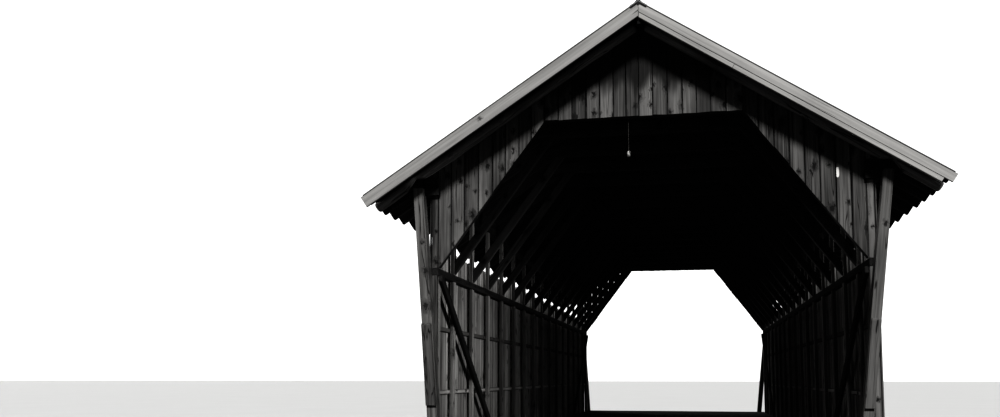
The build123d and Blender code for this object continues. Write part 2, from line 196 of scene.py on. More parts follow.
class Field:
    """A number, vector or colour that a shader tree works out at each point."""

    def __init__(self, tree, socket):
        self.tree = tree
        self.socket = socket

    def step(self, operation, *others):
        """The result of one step of arithmetic."""
        return field(self.tree, "ShaderNodeMath", dict(enumerate((self, *others))), operation=operation)

    __add__ = functools.partialmethod(step, "ADD")
    __sub__ = functools.partialmethod(step, "SUBTRACT")
    __mul__ = functools.partialmethod(step, "MULTIPLY")
    __truediv__ = functools.partialmethod(step, "DIVIDE")
    __pow__ = functools.partialmethod(step, "POWER")
    __lt__ = functools.partialmethod(step, "LESS_THAN")
    __abs__ = functools.partialmethod(step, "ABSOLUTE")
    larger = functools.partialmethod(step, "MAXIMUM")

    def clamped(self):
        """The last step's result, kept from 0 to 1."""
        self.socket.node.use_clamp = True
        return self

    def scaled(self, factors, shift=(0, 0, 0)):
        """A vector stretched by its own factor along each axis, and moved."""
        inputs = {0: self, 1: factors, 2: shift}
        return field(self.tree, "ShaderNodeVectorMath", inputs, operation="MULTIPLY_ADD")

    def parts(self):
        """The three parts of a vector."""
        made = node(self.tree, "ShaderNodeSeparateXYZ", {0: self})
        return [Field(self.tree, socket) for socket in made.outputs]

    def cloud(self, factors, shift=(0, 0, 0), detail=2.0, roughness=0.5, output="Fac"):
        """Smooth noise from 0 to 1 on a stretched vector."""
        place = self.scaled(factors, shift)
        inputs = {"Vector": place, "Scale": 1.0, "Detail": detail, "Roughness": roughness}
        return field(self.tree, "ShaderNodeTexNoise", inputs, output)

    def ramp(self, start, end):
        """A smooth step from 0 at start to 1 at end."""
        inputs = {"Value": self, "From Min": start, "From Max": end}
        return field(self.tree, "ShaderNodeMapRange", inputs, "Result", interpolation_type="SMOOTHSTEP")

    def mix(self, first, second):
        """Two colours mixed by this share."""
        inputs = {0: self}
        for place, value in ((6, first), (7, second)):
            inputs[place] = value if isinstance(value, Field) else (*value, 1.0)
        return field(self.tree, "ShaderNodeMix", inputs, 2, data_type="RGBA")

    def through(self, effect, inputs):
        """What a shared effect makes of this vector, by name."""
        made = node(self.tree, "ShaderNodeGroup", {0: self, **inputs}, node_tree=effect)
        return {socket.name: Field(self.tree, socket) for socket in made.outputs}


def node(tree, kind, inputs=None, **values):
    """Adds a node to a shader tree, with inputs set to plain values or linked to fields."""
    made = tree.nodes.new(kind)
    for name, value in values.items():
        setattr(made, name, value)
    for name, value in (inputs or {}).items():
        if isinstance(value, Field):
            tree.links.new(value.socket, made.inputs[name])
        else:
            made.inputs[name].default_value = value
    return made


def field(tree, kind, inputs=None, output=0, **values):
    """Adds a node and gives what comes out of it."""
    return Field(tree, node(tree, kind, inputs, **values).outputs[output])


def group(name, **numbers):
    """A new shader group: its tree and its inputs, which are a vector and some numbers."""
    tree = bpy.data.node_groups.new(name, "ShaderNodeTree")
    tree.interface.new_socket("Vector", in_out="INPUT", socket_type="NodeSocketVector")
    for label, default in numbers.items():
        socket = tree.interface.new_socket(label, in_out="INPUT", socket_type="NodeSocketFloat")
        socket.default_value = default
    entry = tree.nodes.new("NodeGroupInput").outputs
    return tree, [Field(tree, entry[label]) for label in ("Vector", *numbers)]


def give(tree, results):
    """Closes a shader group with its named results."""
    for label, result in results.items():
        kind = "NodeSocketVector" if result.socket.type == "VECTOR" else "NodeSocketFloat"
        tree.interface.new_socket(label, in_out="OUTPUT", socket_type=kind)
    node(tree, "NodeGroupOutput", results)
    return tree


# Shared effects

KNOT_CELLS = 6.6
KNOT_SQUEEZE = 0.7
KNOT_STRAY = 0.085
# Reach of the dark board edges: dirt in the joints and painted shade at the gaps.
RIM_REACH = 0.012
SPLASH = (0.95, 0.35)
# Painted shade: the gable boards go dark from this height up, with a ragged edge.
PAINTED_SHADE_FOOT = 4.96
PAINTED_SHADE_RUN = 0.22
# Painted daylight: a small pale oblong on the near gable, by the right post's top.
DAYLIGHT_SPOT = Vector((2.02, 3.785))
DAYLIGHT_SPOT_HALF = Vector((0.016, 0.055))
# Paler towards the open ends: sun bleaching, and painted light falling in at the portals.
PALE_ENDS_FROM = 1.6
PALE_ENDS_TO = 0.1


@functools.cache
def knots_effect():
    """Ragged knots in the wood, the cracks that cross them and the grain bent round them."""
    tree, (grain, share) = group("Knots", Share=0.2)
    shake = grain.cloud((48, 48, 30), roughness=0.6, output="Color")
    ragged = shake.scaled([KNOT_STRAY] * 3, grain.scaled((1, 1, 1), [-KNOT_STRAY / 2] * 3))
    across, through, along = ragged.parts()
    flat = field(tree, "ShaderNodeCombineXYZ", {0: across, 1: along * KNOT_SQUEEZE})
    inputs = {"Vector": flat, "Scale": KNOT_CELLS, "Randomness": 1.0}
    cells = node(tree, "ShaderNodeTexVoronoi", inputs, voronoi_dimensions="2D")
    labels = ("Distance", "Color", "Position")
    distance, tints, middle = (Field(tree, cells.outputs[label]) for label in labels)
    lot = node(tree, "ShaderNodeSeparateColor", {0: tints}).outputs
    kept = Field(tree, lot[0]) < share
    away = distance / (Field(tree, lot[1]) ** 2.0 * 0.14 + 0.085)
    core = away.ramp(1.15, 0.7) * kept
    halo = away.ramp(2.4, 1.0) * kept
    crack = abs(ragged.cloud((60, 60, 34), (2, 6, 4)) - 0.5).ramp(0.035, 0.01) * halo * 0.95
    side, depth, height = grain.parts()
    bent = (side - middle.parts()[0]) * (away.ramp(3.4, 0.8) * kept * -0.6) + side
    around = field(tree, "ShaderNodeCombineXYZ", {0: bent, 1: depth, 2: height})
    return give(tree, {"Knot": core.larger(crack), "Halo": halo, "Bent grain": around})


@functools.cache
def grain_effect():
    """Streaks of pale and dark grain along a board."""
    tree, (grain, tone) = group("Sawn grain", Tone=0.5)
    fine = grain.cloud((130, 130, 2.5), detail=3, roughness=0.6)
    streak = grain.cloud((34, 34, 0.9), (5, 9, 3), 3, 0.55)
    broad = grain.cloud((7, 7, 0.8), (11, 2, 7))
    shade = tone * 0.62 - 0.31 + fine * 0.5 + streak * 1.5 + broad * 0.9 - 0.97
    return give(tree, {"Shade": shade.clamped(), "Ridge": fine + streak})


@functools.cache
def checks_effect():
    """Thin drying cracks along the grain."""
    tree, (grain, amount) = group("Drying checks", Amount=0.5)
    line = abs(grain.cloud((17, 17, 0.7), (3, 8, 1), 1.5, 0.4) - 0.5).ramp(0.014, 0.004)
    region = grain.cloud((5, 5, 0.9), (21, 4, 6), 1)
    there = (region + amount * 0.4 - 0.72).ramp(0.0, 0.05)
    return give(tree, {"Check": line * there})


@functools.cache
def edge_dirt_and_shade_effect():
    """Marks the two long edges of a board, which are darkened for dirt in the joints and for painted shade
    at the gaps and along the rails.
    """
    tree, (grain, half) = group("Board rim", Half=0.07)
    rough = grain.cloud((20, 20, 4), roughness=0.6)
    share = (half - abs(grain.parts()[0])) / (rough * (2 * RIM_REACH))
    return give(tree, {"Rim": share.ramp(1.0, 0.2)})


@functools.cache
def stains_and_painted_light_effect():
    """Weather and painted light in the bridge's own frame: damp, painted shade up high, a painted pale patch
    of daylight, and paler ends from sun bleaching and painted light.
    """
    tree, (place, patches) = group("Weather stains", Patches=0.5)
    x, y, z = place.parts()
    damp = place.cloud((2.2, 2.2, 0.9), detail=3, roughness=0.6).ramp(0.46, 0.72) * patches
    # Painted shade up high on the boards, its edge made ragged by noise.
    painted_shade_high = (place.cloud((6, 6, 1.5)) * 0.5 + z).ramp(PAINTED_SHADE_FOOT, PAINTED_SHADE_FOOT + PAINTED_SHADE_RUN)
    # Painted daylight: a pale oblong patch, on the near gable only.
    sideways = abs((x - DAYLIGHT_SPOT.x) / DAYLIGHT_SPOT_HALF.x)
    upwards = abs((z - DAYLIGHT_SPOT.y) / DAYLIGHT_SPOT_HALF.y)
    painted_daylight = (sideways**2.0 + upwards**4.0).ramp(1.1, 0.8) * (y < 0.0)
    # Paler ends: sun bleaching and painted light.
    bleach = abs(y).ramp(GABLE_FACE - PALE_ENDS_FROM, GABLE_FACE - PALE_ENDS_TO)
    stain = damp.larger(z.ramp(*SPLASH) * 0.45)
    return give(tree, {"Stain": stain, "Bleach": bleach, "Shelter": painted_shade_high, "Scar": painted_daylight})


# Materials

# Pale colour of the painted daylight patch on the gable.
DAYLIGHT_PALE = (0.6, 0.59, 0.57)
# Near black for the painted shade at the ridge cap's ends.
PAINTED_SHADE_BLACK = (0.006, 0.0058, 0.0056)
RUST = (0.075, 0.055, 0.045)
WOOD_RELIEF = 0.0025
DENT_DEPTH = 0.02
CAP_DARK_FROM = 0.012
CAP_DARK_TO = 0.008


def new_material(name, finish, *values, **options):
    """A material whose shader inputs a finish works out from the place on the object."""
    material = bpy.data.materials.new(name)
    material.use_nodes = True
    tree = material.node_tree
    tree.nodes.clear()
    inputs = finish(field(tree, "ShaderNodeTexCoord", output="Object"), *values, **options)
    shader = field(tree, "ShaderNodeBsdfPrincipled", inputs)
    node(tree, "ShaderNodeOutputMaterial", {"Surface": shader})
    return material


def attribute(tree, name, output="Fac"):
    """What each point of a mesh carries under a name."""
    return field(tree, "ShaderNodeAttribute", output=output, attribute_name=name)


def bump(height, strength, distance):
    """Surface normals from a height."""
    inputs = {"Strength": strength, "Distance": distance, "Height": height}
    return field(height.tree, "ShaderNodeBump", inputs)


def wood(place, dark, pale, fade=1.0, knots=0.2, checks=0.5, patches=0.5, rim=0.6, bleach=0.0, shelter=0.0):
    """Weathered wood on the grain that each board carries, with painted shade and painted light among its
    stains.
    """
    grain = attribute(place.tree, "grain", "Vector")
    knot = grain.through(knots_effect(), {"Share": knots})
    bent = knot["Bent grain"]
    lines = bent.through(grain_effect(), {"Tone": attribute(place.tree, "tone")})
    check = bent.through(checks_effect(), {"Amount": checks})["Check"]
    edge = grain.through(edge_dirt_and_shade_effect(), {"Half": attribute(place.tree, "half_width")})["Rim"]
    stains_and_light = place.through(stains_and_painted_light_effect(), {"Patches": patches})
    base = lines["Shade"].mix(dark, [c * fade for c in pale])
    # Paler towards the open ends: sun bleaching and painted light.
    if bleach:
        base = stains_and_light["Bleach"].mix(base, base.scaled([bleach] * 3))
    # Darkening from stains, knots and checks, with painted shade up high and along the board edges.
    dirt_and_shade = stains_and_light["Stain"] * 0.75
    for mask, strength in (
        (stains_and_light["Shelter"], shelter),
        (edge, rim),
        (knot["Halo"], 0.5),
        (knot["Knot"], 0.96),
        (check, 0.92),
    ):
        dirt_and_shade = dirt_and_shade.larger(mask * strength)
    finished = dirt_and_shade.mix(base, [c * 0.25 for c in dark])
    # Painted daylight: a pale patch mixed into the gable boards.
    if shelter:
        finished = stains_and_light["Scar"].mix(finished, DAYLIGHT_PALE)
    return {
        "Base Color": finished,
        "Roughness": lines["Shade"] * 0.15 + 0.72,
        "Normal": bump(lines["Ridge"] - check * 2.2 + knot["Knot"] * 0.5, 0.6, WOOD_RELIEF),
        "Specular IOR Level": 0.12,
    }


def galvanised_sheet(place, base, rust_share, dark_end=False):
    """Dull galvanised sheet with spangle, run-off streaks and a little rust, and if asked its ends painted
    near black as shade.
    """
    spangle = field(place.tree, "ShaderNodeTexVoronoi", {"Vector": place, "Scale": 45.0}, "Color")
    fleck = field(place.tree, "ShaderNodeSeparateColor", {0: spangle})
    streak = place.cloud((0.8, 14, 0.8), detail=3, roughness=0.6)
    broad = place.cloud((1.1, 1.1, 1.1), (4, 1, 2), 3, 0.6)
    shade = (fleck * 0.12 + streak + broad * 0.8 - 0.45).clamped()
    patch = place.cloud((1.7, 5.0, 1.7), (7, 3, 5), 5, 0.65)
    rust = patch.ramp(0.72 - rust_share, 0.8 - rust_share * 0.6)
    tones = rust.mix(shade.mix([c * 0.55 for c in base], base), RUST)
    # Painted shade: the ridge cap goes near black at its ends.
    if dark_end:
        end = CAD_BOX[1].y
        tones = abs(place.parts()[1]).ramp(end - CAP_DARK_FROM, end - CAP_DARK_TO).mix(tones, PAINTED_SHADE_BLACK)
    return {
        "Base Color": tones,
        "Metallic": rust * -0.15 + 0.15,
        "Roughness": broad * 0.2 + 0.68 + rust * 0.3,
        "Normal": bump(place.cloud((2.5, 4.0, 2.5)), 0.35, DENT_DEPTH),
    }


def old_iron(place, base):
    """Dark rusty iron for the nails and the wire; on a near-black base, the painted shade of the cap's ends.
    """
    speck = place.cloud((90, 90, 90), detail=3, roughness=0.6)
    tones = speck.ramp(0.35, 0.7).mix([c * 0.5 for c in base], base)
    return {"Base Color": tones, "Roughness": speck * 0.3 + 0.5, "Metallic": 0.6}


def turned_wood(place):
    """Pale bleached turned wood."""
    lines = place.cloud((70, 70, 40), detail=3, roughness=0.6)
    tones = lines.ramp(0.35, 0.68).mix((0.03, 0.029, 0.028), (0.42, 0.415, 0.4))
    return {"Base Color": tones, "Roughness": lines * 0.2 + 0.5}


def studio_floor(place):
    """Plain pale floor, which throws little light back up."""
    tones = place.cloud((0.3, 0.3, 0.3)).mix((0.52, 0.52, 0.515), (0.56, 0.56, 0.555))
    seen = field(place.tree, "ShaderNodeLightPath", output="Is Camera Ray")
    return {"Base Color": seen.mix((0.05, 0.05, 0.0495), tones), "Roughness": 0.9}


MATERIALS = {}


def make_materials(colours):
    """Builds every finish once."""
    for key, name, tones, options in (
        ("wall", "Weathered gable boards", "wall", dict(knots=0.66, checks=0.6, patches=0.7, shelter=0.88)),
        ("side", "Weathered side boards", "side", dict(knots=0.16, checks=0.7, patches=0.7)),
        ("rake", "Bleached rake boards", "rake", dict(knots=0.06, checks=0.25, patches=0.12, rim=0.25)),
        ("frame", "Dark frame timber", "frame", dict(checks=0.6, rim=0.3)),
        ("post", "Wall posts", "side", dict(fade=0.72, knots=0.25, checks=0.6, patches=0.4)),
        # Rails: paler ends from sun bleaching and painted light, dark edges from dirt and painted shade.
        ("rail", "Pale rails", "side", dict(knots=0.1, patches=0.3, rim=0.9, bleach=1.3)),
        ("pole", "Peeled poles", "pole", dict(knots=0.3, checks=0.7, rim=0.0)),
        ("roof_board", "Dark roof boards", "frame", dict(knots=0.3, checks=0.3, patches=0.6, rim=0.8)),
        ("corner", "Grey corner timber", "corner", dict(knots=0.18, checks=0.9, patches=0.3, rim=0.2)),
        ("scab", "Dark scab planks", "scab", dict(knots=0.15, checks=1.0, rim=0.3)),
        ("deck", "Worn deck planks", "wall", dict(patches=0.6, rim=0.7)),
        ("heavy", "Heavy old timber", "scab", dict(knots=0.15, checks=1.0, patches=0.6, rim=0.2)),
    ):
        dark, pale = (getattr(colours, f"{tones}_{shade}") for shade in ("dark", "pale"))
        MATERIALS[key] = new_material(name, wood, dark, pale, **options)
    MATERIALS.update(
        sheet=new_material("Galvanised roof sheet", galvanised_sheet, (0.3, 0.3, 0.297), 0.1),
        # The ridge cap's ends and the cap-end pieces are painted near black as shade.
        cap=new_material("Galvanised ridge cap", galvanised_sheet, (0.16, 0.16, 0.159), 0.16, dark_end=True),
        cap_end=new_material("Dark cap end", old_iron, PAINTED_SHADE_BLACK),
        iron=new_material("Old iron", old_iron, (0.09, 0.085, 0.08)),
        turned=new_material("Turned wood", turned_wood),
        floor=new_material("Studio floor", studio_floor),
    )


# Wood in mesh form

MERGE = 1e-5
FLAT_ANGLE = math.radians(0.05)
SHARP_ANGLE = math.radians(28)
GRAIN_SPREAD = 60.0
HIGH_UP = 2.0
UPRIGHT = Matrix.Identity(3)
OUTWARD = Matrix(((0, 1, 0), (1, 0, 0), (0, 0, 1)))
CROSSWAYS = Matrix(((0, 0, 1), (1, 0, 0), (0, 1, 0)))
ALONG_ROAD = Vector((0, 1, 0))
HANDS = {"left": -1, "right": 1}
ENDS = {"near": -1, "far": 1}


def slope_axes(out):
    """The directions out of a roof slope and down it."""
    return Vector((out * ROOF_SIN, 0, ROOF_COS)), Vector((out * ROOF_COS, 0, -ROOF_SIN))


def turn_to(direction):
    """The turn that takes Z to a direction."""
    return Vector((0, 0, 1)).rotation_difference(direction).to_matrix().to_4x4()


def new_wood():
    """An empty bmesh that can carry grain."""
    bm = bmesh.new()
    bm.verts.layers.float_vector.new("grain")
    bm.verts.layers.float.new("tone")
    bm.verts.layers.float.new("half_width")
    return bm


def mark_grain(bm, axes, rng, tone=None):
    """Gives a timber its own grain: across, through and along it, from its own middle."""
    turn = axes.transposed()
    places = [turn @ v.co for v in bm.verts]
    least = Vector([min(p[i] for p in places) for i in range(3)])
    most = Vector([max(p[i] for p in places) for i in range(3)])
    middle = (least + most) / 2
    half = (most.x - least.x) / 2
    start = Vector((0, rng.uniform(0, GRAIN_SPREAD), rng.uniform(0, GRAIN_SPREAD)))
    shade = rng.random() if tone is None else tone
    grain = bm.verts.layers.float_vector["grain"]
    shades = bm.verts.layers.float["tone"]
    halves = bm.verts.layers.float["half_width"]
    for v, p in zip(bm.verts, places):
        v[grain] = p - middle + start
        v[shades] = shade
        v[halves] = half


def join(whole, part):
    """Adds a finished part to a whole."""
    mesh = bpy.data.meshes.new("part")
    part.to_mesh(mesh)
    part.free()
    whole.from_mesh(mesh)
    bpy.data.meshes.remove(mesh)


def add_block(bm, size, place, turn=0.0):
    """A block of some size, turned about the roadway's direction."""
    bmesh.ops.create_cube(bm, size=1, matrix=Matrix.LocRotScale(place, Euler((0, turn, 0)), size))


def bevel(bm, edges, width, segments=1):
    """Rounds some edges."""
    options = {"profile": 0.5, "affect": "EDGES", "clamp_overlap": True, "material": -1}
    bmesh.ops.bevel(bm, geom=edges, offset=width, segments=segments, **options)


def bevel_sharp(bm, width):
    """Rounds every sharp edge a little."""
    bevel(bm, [e for e in bm.edges if len(e.link_faces) == 2 and e.calc_face_angle() > SHARP_ANGLE], width)


def split(bm, place, normal, **options):
    """Cuts a mesh along a plane."""
    geometry = bm.verts[:] + bm.edges[:] + bm.faces[:]
    return bmesh.ops.bisect_plane(bm, geom=geometry, dist=MERGE, plane_co=place, plane_no=normal, **options)


def saw_off(bm, place, normal):
    """Saws off what lies on the far side of a plane, and closes the cut."""
    cut = split(bm, place, normal, clear_outer=True)
    edges = [g for g in cut["geom_cut"] if isinstance(g, bmesh.types.BMEdge)]
    if edges:
        bmesh.ops.contextual_create(bm, geom=edges)


def slice_upright(bm, height, cuts):
    """Cuts loops across a plain block or cone of some height."""
    tall = [e for e in bm.edges if abs(e.verts[0].co.z - e.verts[1].co.z) > height / 2]
    bmesh.ops.subdivide_edges(bm, edges=tall, cuts=cuts, use_grid_fill=True)


def slice_along(bm, axis, spacing):
    """Cuts loops across a timber, so that it can bend."""
    along = [v.co.dot(axis) for v in bm.verts]
    start, run = min(along), max(along) - min(along)
    pieces = max(1, round(run / spacing))
    for n in range(1, pieces):
        split(bm, axis * (start + run * n / pieces), axis)


def waver(bm, axes, amount, rng):
    """Bends a timber a little each way along its length."""
    across, through, along = (axes.col[i].copy() for i in range(3))
    seed = rng.uniform(0, GRAIN_SPREAD)
    for v in bm.verts:
        s = v.co.dot(along)
        v.co += across * amount * noise.noise(Vector((seed, 0, s * 0.9)))
        v.co += through * amount * noise.noise(Vector((seed, 7, s * 0.7)))


def timber_axes(bm):
    """A timber's across, through and along directions: its longest edge, and its widest face."""
    edge = max(bm.edges, key=lambda e: round(e.calc_length(), 4))
    along = (edge.verts[1].co - edge.verts[0].co).normalized()
    if along.z < -0.01 or (abs(along.z) <= 0.01 and along.y < 0):
        along.negate()
    faces = [f for f in bm.faces if abs(f.normal.dot(along)) < 0.2]
    widest = max(faces, key=lambda f: round(f.calc_area(), 5))
    through = (widest.normal - along * widest.normal.dot(along)).normalized()
    across = through.cross(along).normalized()
    return Matrix((across, through, along)).transposed()


def solids_of(name):
    """Each solid of a CAD node as a bmesh of its own, merged, its flat faces whole."""
    whole = bmesh.new()
    whole.from_mesh(NODES[name].data)
    bmesh.ops.remove_doubles(whole, verts=whole.verts, dist=MERGE)
    whole.verts.index_update()
    solid_of = [None] * len(whole.verts)
    count = 0
    for first in whole.verts:
        if solid_of[first.index] is not None:
            continue
        queue = [first]
        while queue:
            v = queue.pop()
            if solid_of[v.index] is None:
                solid_of[v.index] = count
                queue.extend(e.other_vert(v) for e in v.link_edges)
        count += 1
    solids = [new_wood() for _ in range(count)]
    twins = [solids[solid_of[v.index]].verts.new(v.co) for v in whole.verts]
    for face in whole.faces:
        solids[solid_of[face.verts[0].index]].faces.new([twins[v.index] for v in face.verts])
    for solid in solids:
        solid.normal_update()
        bmesh.ops.dissolve_limit(solid, angle_limit=FLAT_ANGLE, verts=solid.verts, edges=solid.edges)
    whole.free()
    return solids


def worn_timber(solid, rng, edge=None, amount=None, tone=None):
    """Turns a plain solid into a worn timber that doesn't sink into the floor."""
    settings = bpy.context.scene.bridge_timbers
    axes = timber_axes(solid)
    slice_along(solid, axes.col[2].copy(), settings.loop_spacing)
    waver(solid, axes, settings.waver if amount is None else amount, rng)
    bevel_sharp(solid, settings.worn_edge if edge is None else edge)
    mark_grain(solid, axes, rng, tone)
    for v in solid.verts:
        v.co.z = max(v.co.z, 0.0)
    return solid


def new_object(name, data, material=None):
    """An object in the scene, with its finish if it has one."""
    if material:
        data.materials.append(MATERIALS[material])
    made = bpy.data.objects.new(name, data)
    bpy.context.scene.collection.objects.link(made)
    return made


def mesh_object(name, bm, material):
    """An object from a finished mesh."""
    mesh = bpy.data.meshes.new(name)
    bm.to_mesh(mesh)
    bm.free()
    return new_object(name, mesh, material)


def finish_piece(name, bm, material, replaces=()):
    """Makes an object from a finished mesh and hands it to the frame."""
    piece = mesh_object(name, bm, material)
    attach(piece, "root")
    if replaces:
        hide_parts(*replaces)
    return piece


def worn_copy(name, node_name, material="frame", edge=None, amount=None, tone_at=None):
    """A piece that stands for a node of timbers, each worn in its own way."""
    rng = random.Random(name)
    whole = new_wood()
    for solid in solids_of(node_name):
        join(whole, worn_timber(solid, rng, edge, amount, tone_at(solid) if tone_at else None))
    finish_piece(name, whole, material, [node_name])


def shaded_high_lit_low(solid):
    """Painted light: what is up high is toned darker as painted shade, what is low paler as if lit."""
    return -0.7 if max(v.co.z for v in solid.verts) > HIGH_UP else 0.8


def scab_tone(solid):
    """The planks on the right-hand posts are the paler ones."""
    return 1.15 if sum(v.co.x for v in solid.verts) > 0 else 0.35


def sawn_board(width, thickness, height, rng, loops=3, stray=0.002, ragged=0.0, edge=0.0015):
    """One board: X across, Y through, Z up from zero, slightly bowed, with uneven ends."""
    bm = new_wood()
    add_block(bm, (width, thickness, height), (0, 0, height / 2))
    slice_upright(bm, height, loops)
    lift = [rng.uniform(-1, 1) * ragged for _ in range(4)]
    seed = rng.uniform(0, GRAIN_SPREAD)
    for v in bm.verts:
        end = 0 if v.co.z < MERGE else 2 if v.co.z > height - MERGE else None
        bow = noise.noise(Vector((seed, 3, v.co.z * 0.8))) * stray
        taper = noise.noise(Vector((seed, v.co.x * 9, v.co.z * 1.3))) * stray
        if end is not None:
            v.co.z += lift[end + (v.co.x > 0)]
        v.co.x += taper
        v.co.y += bow
    bevel_sharp(bm, edge)
    return bm


def lay(whole, bm, place, axes, rng):
    """Turns a board and puts it in its place, with its grain, and adds it to a whole."""
    bm.transform(Matrix.LocRotScale(place, axes.to_quaternion(), None))
    mark_grain(bm, axes, rng)
    join(whole, bm)


def board_edges(start, end, mean, spread, rng):
    """Edges of a row of boards that fills a length, each a little wider or narrower."""
    count = max(1, round((end - start) / mean))
    widths = [mean + rng.uniform(-spread, spread) for _ in range(count)]
    factor = (end - start) / sum(widths)
    edges = [start]
    for width in widths:
        edges.append(edges[-1] + width * factor)
    return edges


# Gable boards

HEADER_EDGES = (-0.92, -0.77, -0.61, -0.46, -0.31, -0.17, -0.03, 0.12, 0.28, 0.44, 0.59, 0.74, 0.9)
GABLE_OVERRUN = 0.05
GABLE_PLAY = 0.004
SHOULDER_SLIP = 0.006


def gable_board(x0, x1, z0, z1, side, rng, roof_cut=True, shoulder=False):
    """One upright board of a gable, cut to the roof and to the opening's shoulder."""
    settings = bpy.context.scene.bridge_boards
    gap = settings.board_gap * rng.uniform(0.9, 2.2)
    ragged = 0.0 if shoulder else settings.ragged * 0.25
    thickness = GABLE_FACE - END_FACE
    bm = sawn_board(x1 - x0 - gap, thickness, z1 - z0, rng, stray=settings.waver * 0.6, ragged=ragged)
    centre = Vector(((x0 + x1) / 2, side * (END_FACE + GABLE_FACE) / 2, z0))
    bmesh.ops.translate(bm, vec=centre, verts=bm.verts)
    out = math.copysign(1, centre.x)
    slopes = (-1, 1) if x0 < 0 < x1 else (out,)
    for slope in slopes if roof_cut else ():
        saw_off(bm, Vector((0, 0, ROOF_PEAK - GABLE_PLAY / ROOF_COS)), slope_axes(slope)[0])
    if shoulder:
        slip = rng.uniform(-SHOULDER_SLIP, SHOULDER_SLIP)
        foot = SHOULDER_FOOT + rng.uniform(-SHOULDER_SLIP, GABLE_PLAY)
        inwards = Vector((-out * (OPENING_TOP - SHOULDER_FOOT), 0, HALF_FLAT - HALF_CLEAR))
        saw_off(bm, Vector((out * (HALF_CLEAR + slip), 0, foot)), inwards.normalized())
    mark_grain(bm, UPRIGHT, rng, rng.random() * (0.5 if centre.x > HALF_FLAT else 0.95))
    return bm


def gable(end, side):
    """All the boards of one gable wall."""
    settings = bpy.context.scene.bridge_boards
    name = "gable_siding_" + end
    rng = random.Random(name)
    whole = new_wood()
    peak = ROOF_PEAK + GABLE_OVERRUN
    for lo, hi, foot in (
        (-HALF_CLEAR, -HALF_FLAT, SHOULDER_FOOT),
        (-HALF_FLAT, HALF_FLAT, OPENING_TOP),
        (HALF_FLAT, HALF_CLEAR, SHOULDER_FOOT),
    ):
        edges = board_edges(lo, hi, settings.board_width, settings.width_spread, rng)
        if foot == OPENING_TOP:
            edges = [lo, *(x for x in HEADER_EDGES if lo < x < hi), hi]
        for x0, x1 in zip(edges, edges[1:]):
            join(whole, gable_board(x0, x1, foot, peak, side, rng, shoulder=foot < OPENING_TOP))
    for out in (-1, 1):
        tone = rng.random()
        for inner, outer, z0, z1 in (
            (HALF_CLEAR, SIDING_INNER, GABLE_FOOT, GIRT_FOOT),
            (HALF_CLEAR, SIDING_INNER, SHOULDER_FOOT, PLATE_FOOT),
            (SIDING_INNER, GABLE_EDGE, GABLE_FOOT, PLATE_FOOT),
            (HALF_CLEAR, GABLE_EDGE, PLATE_TOP, peak),
        ):
            x0, x1 = sorted((out * inner, out * outer))
            part = gable_board(x0, x1, z0, z1, side, rng, roof_cut=z1 == peak)
            mark_grain(part, UPRIGHT, rng, tone)
            join(whole, part)
    finish_piece(name + "_boards", whole, "wall", [name])


# Side boards and their nails

SIDE_PLAY = 0.002
SIDE_DROP = 0.04
SIDE_SHORT = 0.02
NAIL_SHARES = (0.22, 0.78)
NAIL_PROUD = 0.0005
NAIL_DECK_DROP = 0.12


def side_wall(hand, out):
    """The upright boards of one side wall, with pairs of nails where they cross the rails."""
    settings = bpy.context.scene.bridge_boards
    name = "siding_" + hand
    rng = random.Random(name)
    whole = new_wood()
    thickness = SIDING_OUTER - SIDING_INNER - SIDE_PLAY
    edges = board_edges(-END_FACE, END_FACE, settings.board_width, settings.width_spread, rng)
    for y0, y1 in zip(edges, edges[1:]):
        gap = settings.board_gap * rng.uniform(0.5, 2.2)
        drop = rng.uniform(0, SIDE_DROP)
        height = SIDING_TOP - SIDING_FOOT - drop - rng.uniform(0, SIDE_SHORT)
        bm = sawn_board(y1 - y0 - gap, thickness, height, rng, stray=settings.waver, ragged=settings.ragged)
        bm.transform(Matrix.Rotation(math.pi / 2, 4, "Z"))
        place = Vector((out * (SIDING_INNER + SIDING_OUTER) / 2, (y0 + y1) / 2, SIDING_FOOT + drop))
        bmesh.ops.translate(bm, vec=place, verts=bm.verts)
        mark_grain(bm, OUTWARD, rng)
        join(whole, bm)
    finish_piece(name + "_boards", whole, "side", [name])
    rng = random.Random(name + "_nails")
    nails = bmesh.new()
    radius = settings.nail_radius
    shape = {"radius1": radius, "radius2": radius * 0.7, "depth": radius * 0.5}
    turn = turn_to(Vector((out, 0, 0)))
    levels = [*RAIL_LEVELS, (GIRT_FOOT + SHOULDER_FOOT) / 2, DECK_FOOT - NAIL_DECK_DROP]
    for y0, y1 in zip(edges, edges[1:]):
        for level in levels:
            for share in NAIL_SHARES:
                y = y0 + (y1 - y0) * share + rng.uniform(-0.008, 0.008)
                z = level + rng.uniform(-0.018, 0.018)
                place = Matrix.Translation((out * (SIDING_OUTER + NAIL_PROUD), y, z)) @ turn
                bmesh.ops.create_cone(nails, cap_ends=True, segments=6, matrix=place, **shape)
    finish_piece(name + "_nails", nails, "iron")


# Roof boards

ROOF_BOARD_WIDTH = 0.17
ROOF_BOARD_SPREAD = 0.01
ROOF_BOARD_PLAY = 0.002
ROOF_FIRST = 0.004
ROOF_LAST = 0.012
SHORTEST_BOARD = 0.5
BUTT_GAP = 0.003


